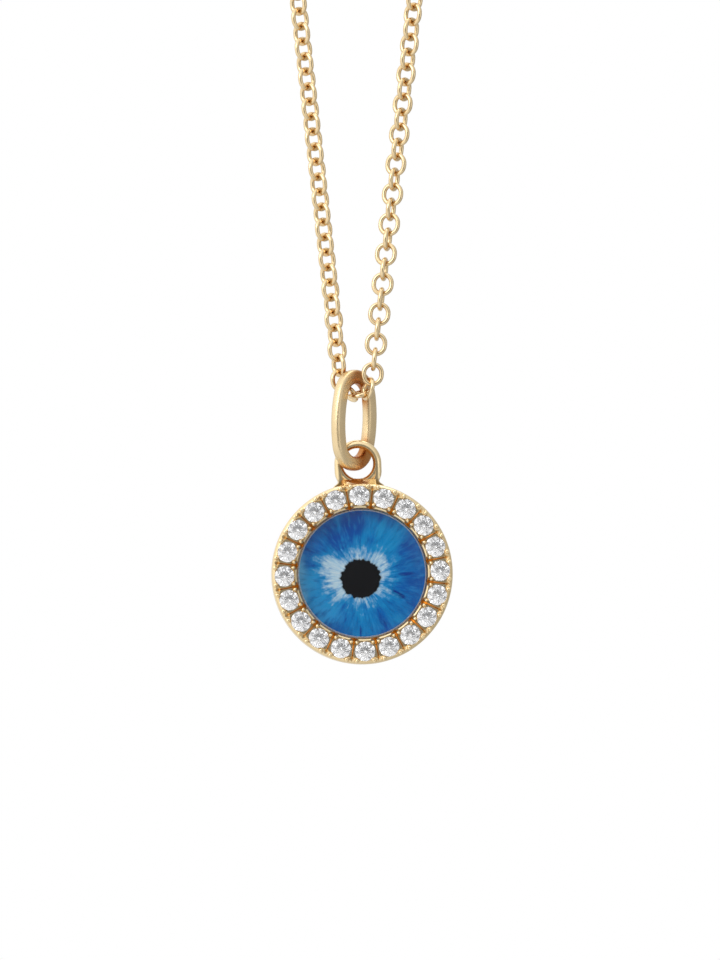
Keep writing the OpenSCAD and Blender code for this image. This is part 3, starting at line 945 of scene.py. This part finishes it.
def light_tent():
    """A soft tent that is plain white behind the necklace, and uneven in what the metal and the
    stones reflect of it."""
    world = bpy.data.worlds.new("light_tent")
    bpy.context.scene.world = world
    world.use_nodes = True
    tree = world.node_tree
    tree.nodes.clear()
    way = add(tree, "ShaderNodeTexCoord").outputs["Generated"]
    split = add(tree, "ShaderNodeSeparateXYZ", {0: way}).outputs
    front = add(tree, "ShaderNodeMath", {0: split["Y"], 1: -1.0}, operation="MULTIPLY").outputs[0]
    axes = {"front": front, "right": split["X"], "up": split["Z"]}
    shares = []
    for axis, start, end, first, final, curve in TENT_LEVELS:
        shares.append(add(tree, "ShaderNodeMapRange", {
            "Value": axes[axis], "From Min": start, "From Max": end, "To Min": first,
            "To Max": final}, interpolation_type=curve).outputs[0])
    level = shares[0]
    for share in shares[1:]:
        level = add(tree, "ShaderNodeMath", {0: level, 1: share}, operation="MULTIPLY").outputs[0]
    seen = add(tree, "ShaderNodeLightPath").outputs["Is Camera Ray"]
    strength = add(tree, "ShaderNodeMix", {
        0: seen, 2: level, 3: 1.0}, data_type="FLOAT").outputs[0]
    light = add(tree, "ShaderNodeBackground", {"Color": colour("#FFFFFF"), "Strength": strength})
    add(tree, "ShaderNodeOutputWorld", {"Surface": light.outputs["Background"]})


def soft_panels():
    for name, at, side, watts in PANELS:
        lamp = bpy.data.lights.new(name, "AREA")
        lamp.size = side
        lamp.energy = watts
        panel = bpy.data.objects.new(name, lamp)
        bpy.context.scene.collection.objects.link(panel)
        panel.location = Vector(at) + eye_at
        panel.rotation_mode = "QUATERNION"
        panel.rotation_quaternion = (eye_at - panel.location).to_track_quat("-Z", "Y")


def camera():
    """Looks at the eye through a long lens, framed so that a pixel is the photograph's. The
    sensor spans the picture's longer side."""
    azimuth, elevation = math.radians(CAMERA_AZIMUTH), math.radians(CAMERA_ELEVATION)
    back = Vector((
        math.sin(azimuth) * math.cos(elevation), -math.cos(azimuth) * math.cos(elevation),
        math.sin(elevation)))
    turn = (-back).to_track_quat("-Z", "Y")
    middle = Vector((PHOTO_W / 2, PHOTO_H / 2))
    shift = (middle - EYE_PIXEL) * MM_PER_PIXEL * MM
    target = eye_at + turn @ Vector((shift.x, -shift.y, 0))
    lens = bpy.data.cameras.new("camera")
    lens.sensor_width = SENSOR
    lens.lens = SENSOR * CAMERA_DISTANCE / (PHOTO_H * MM_PER_PIXEL)
    lens.clip_start, lens.clip_end = CAMERA_CLIP
    holder = bpy.data.objects.new("camera", lens)
    bpy.context.scene.collection.objects.link(holder)
    holder.rotation_mode = "QUATERNION"
    holder.rotation_quaternion = turn
    holder.location = target + back * CAMERA_DISTANCE * MM
    bpy.context.scene.camera = holder


def dress(node, finish):
    """Gives a solid that is kept its own finish."""
    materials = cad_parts[node].data.materials
    materials.clear()
    materials.append(finish)


bpy.context.scene.view_settings.view_transform = "Standard"
camera()
paper_floor()
light_tent()
soft_panels()

# Polished on a wheel: even and bright
polished_gold = gold(
    "polished_14k_gold", "#EED6AC", "#E6CA9C", rough=0.17, grain=0.05, grain_mm=0.08, bump=0.25)
# Cut bright with a graver: mirror edges, and a painted orange shade and reflection where the cuts
# face each other
cut_gold = gold(
    "bright_cut_14k_gold", "#F4DFB4", "#EDD3A2", rough=0.16, grain=0.05, grain_mm=0.07, bump=0.2,
    painted_hollow_shade=1.05)
# Brushed along the wire: soft long streaks, and a painted brown shade where the ring's sides face
# each other
satin_gold = gold(
    "brushed_14k_gold", "#EED8AE", "#E2C798", rough=0.24, grain=0.08, grain_mm=0.05, bump=0.4,
    stretch=(4, 4, 0.25), painted_hollow_shade=1.5, painted_shade_mm=1.4, painted_shade_tone="#B87A40")
# Drawn through a die: smooth, with a little painted shade where links cross
chain_gold = gold(
    "drawn_wire_14k_gold", "#F0DAB0", "#E8CD9F", rough=0.2, grain=0.03, grain_mm=0.15, bump=0.05,
    painted_hollow_shade=0.5)

dome_piece(crystal_glass(), ground_edge())
iris_piece(painted_iris())
setting_piece(cut_gold)
bail_piece(satin_gold)
chain_piece(chain_gold)

stone_finish = diamond()
for k in range(STONES):
    dress(f"stone_{k + 1:02d}", stone_finish)
dress("clasp", polished_gold)
